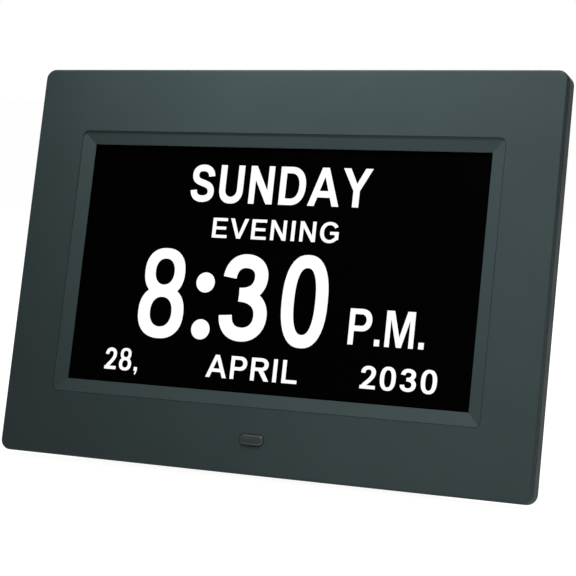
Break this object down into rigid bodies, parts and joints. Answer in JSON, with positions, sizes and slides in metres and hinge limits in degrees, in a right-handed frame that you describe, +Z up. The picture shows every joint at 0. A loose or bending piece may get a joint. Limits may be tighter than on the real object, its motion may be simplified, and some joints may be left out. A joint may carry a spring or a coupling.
{
  "type": "dementia day clock",
  "caption": "Wide-bordered screen clock that shows day, time and date, leaning back on a fold-out leg, with keys, sockets and wall keyholes behind.",
  "frame": {"origin": "on the surface, under the middle of the whole clock as it stands with its leg open", "axes": "+X to the right seen from the front, +Y to the back, +Z up; the screen faces -Y and leans back 15.5 degrees"},
  "size_m": [0.2044, 0.0564, 0.1436],
  "materials": {
    "front_plastic": "satin",
    "rear_plastic": "fine texture",
    "key_plastic": "satin",
    "window_plastic": "gloss",
    "screen_glass": "satin black",
    "light_plastic": "clear",
    "sheet_steel": "plain",
    "screw_steel": "bright zinc",
    "black_screw_steel": "black",
    "foam": "foam",
    "board": "lacquered",
    "chip_black": "moulded",
    "can_aluminium": "satin",
    "socket_white": "moulded",
    "ribbon_amber": "film",
    "ribbon_white": "film",
    "cable_grey": "plain",
    "cable_red": "plain",
    "pin_brass": "nickelled",
    "speaker_black": "black",
    "cone_paper": "paper",
    "foot_rubber": "matt",
    "label_plastic": "bare"
  },
  "bodies": {
    "case": {"front_bezel": "front_plastic", "ir_window": "window_plastic", "ir_board": "board", "ir_receiver": "chip_black", "ir_board_screws": "screw_steel", "ir_cable": "cable_grey", "lcd_gasket": "foam", "lcd_frame": "sheet_steel", "lcd_glass": "screen_glass", "lcd_light_guide": "light_plastic", "lcd_back_plate": "sheet_steel", "lcd_brackets": "sheet_steel", "lcd_bracket_screws": "screw_steel", "lcd_ribbon": "ribbon_amber", "main_board": "board", "processor_chip": "chip_black", "memory_chips": "chip_black", "capacitors": "can_aluminium", "clock_crystal": "can_aluminium", "coin_cell_holder": "chip_black", "coin_cell": "can_aluminium", "ribbon_sockets": "socket_white", "power_socket": "chip_black", "power_socket_pin": "pin_brass", "usb_socket": "sheet_steel", "usb_tongue": "socket_white", "card_slot": "sheet_steel", "main_board_screws": "screw_steel", "key_board": "board", "key_switches": "chip_black", "key_ribbon": "ribbon_white", "key_board_screws": "screw_steel", "speaker_basket": "speaker_black", "speaker_cone": "cone_paper", "speaker_gasket": "foam", "speaker_wires": "cable_red", "speaker_screws": "screw_steel", "rear_cover": "rear_plastic", "cover_screws": "black_screw_steel", "rubber_feet": "foot_rubber", "label_plate": "label_plastic", "stand_pin": "screw_steel"},
    "stand": {"stand_leg": "rear_plastic", "stand_pad": "foot_rubber"},
    "key_power": {"key_power": "key_plastic", "plunger_power": "socket_white"},
    "key_menu": {"key_menu": "key_plastic", "plunger_menu": "socket_white"},
    "key_left": {"key_left": "key_plastic", "plunger_left": "socket_white"},
    "key_up": {"key_up": "key_plastic", "plunger_up": "socket_white"},
    "key_down": {"key_down": "key_plastic", "plunger_down": "socket_white"},
    "key_right": {"key_right": "key_plastic", "plunger_right": "socket_white"},
    "key_exit": {"key_exit": "key_plastic", "plunger_exit": "socket_white"}
  },
  "joints": [
    {"name": "stand_fold", "type": "hinge", "parent": "case", "child": "stand", "pos_m": [0, 0.00737, 0.06735], "axis": [1, 0, 0], "range_deg": [-29.9, 0]},
    {"name": "press_power", "type": "slide", "parent": "case", "child": "key_power", "axis": [0, -0.9636, 0.2672], "range_m": [0, 0.0006], "stiffness_N_per_m": 400, "springref_m": -0.001},
    {"name": "press_menu", "type": "slide", "parent": "case", "child": "key_menu", "axis": [0, -0.9636, 0.2672], "range_m": [0, 0.0006], "stiffness_N_per_m": 400, "springref_m": -0.001},
    {"name": "press_left", "type": "slide", "parent": "case", "child": "key_left", "axis": [0, -0.9636, 0.2672], "range_m": [0, 0.0006], "stiffness_N_per_m": 400, "springref_m": -0.001},
    {"name": "press_up", "type": "slide", "parent": "case", "child": "key_up", "axis": [0, -0.9636, 0.2672], "range_m": [0, 0.0006], "stiffness_N_per_m": 400, "springref_m": -0.001},
    {"name": "press_down", "type": "slide", "parent": "case", "child": "key_down", "axis": [0, -0.9636, 0.2672], "range_m": [0, 0.0006], "stiffness_N_per_m": 400, "springref_m": -0.001},
    {"name": "press_right", "type": "slide", "parent": "case", "child": "key_right", "axis": [0, -0.9636, 0.2672], "range_m": [0, 0.0006], "stiffness_N_per_m": 400, "springref_m": -0.001},
    {"name": "press_exit", "type": "slide", "parent": "case", "child": "key_exit", "axis": [0, -0.9636, 0.2672], "range_m": [0, 0.0006], "stiffness_N_per_m": 400, "springref_m": -0.001}
  ]
}
